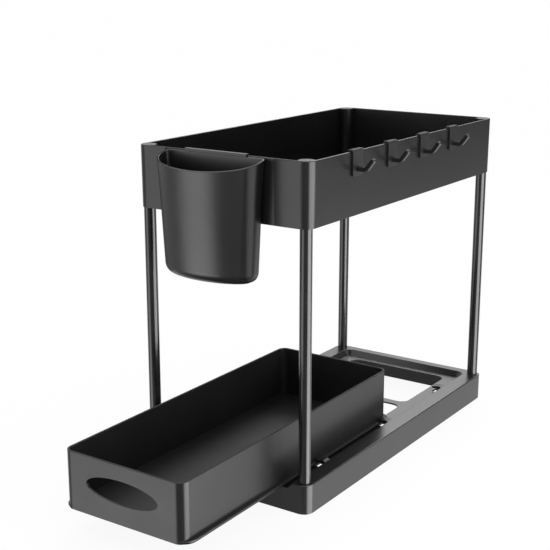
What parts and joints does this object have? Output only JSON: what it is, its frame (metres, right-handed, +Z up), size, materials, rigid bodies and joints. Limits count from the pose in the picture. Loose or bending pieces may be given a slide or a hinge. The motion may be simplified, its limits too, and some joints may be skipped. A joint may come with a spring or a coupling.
{
  "type": "under sink organizer",
  "caption": "Under-sink organizer: open tray raised on round posts over a low base with a pull-out drawer, a clip-on half-oval cup on the front rim and clip-on hooks along the side rim.",
  "frame": {"origin": "middle of the base's footprint, on the floor that its pads stand on", "axes": "+X to the right, the side with the hooks; +Y to the back, so that the drawer pulls out along -Y; +Z up"},
  "size_m": [0.2009, 0.495, 0.3118],
  "materials": {
    "black_plastic": "satin black moulded plastic",
    "black_tube": "gloss black coated tube",
    "pad_rubber": "matte"
  },
  "bodies": {
    "stand": {"base_frame": "black_plastic", "upper_tray": "black_plastic", "post_front_left": "black_tube", "post_front_right": "black_tube", "post_rear_left": "black_tube", "post_rear_right": "black_tube", "foot_pad_front_left": "pad_rubber", "foot_pad_front_right": "pad_rubber", "foot_pad_rear_left": "pad_rubber", "foot_pad_rear_right": "pad_rubber"},
    "drawer_body": {"drawer": "black_plastic"},
    "cup_body": {"hanging_cup": "black_plastic"},
    "hook_1_body": {"hook_1": "black_plastic"},
    "hook_2_body": {"hook_2": "black_plastic"},
    "hook_3_body": {"hook_3": "black_plastic"},
    "hook_4_body": {"hook_4": "black_plastic"}
  },
  "joints": [
    {"name": "drawer_slide", "type": "slide", "parent": "stand", "child": "drawer_body", "axis": [0, -1, 0], "range_m": [-0.1473, 0.06]},
    {"name": "cup_lift", "type": "slide", "parent": "stand", "child": "cup_body", "axis": [0, 0, 1], "range_m": [0, 0.03]},
    {"name": "hook_1_lift", "type": "slide", "parent": "stand", "child": "hook_1_body", "axis": [0, 0, 1], "range_m": [0, 0.025]},
    {"name": "hook_2_lift", "type": "slide", "parent": "stand", "child": "hook_2_body", "axis": [0, 0, 1], "range_m": [0, 0.025]},
    {"name": "hook_3_lift", "type": "slide", "parent": "stand", "child": "hook_3_body", "axis": [0, 0, 1], "range_m": [0, 0.025]},
    {"name": "hook_4_lift", "type": "slide", "parent": "stand", "child": "hook_4_body", "axis": [0, 0, 1], "range_m": [0, 0.025]}
  ]
}
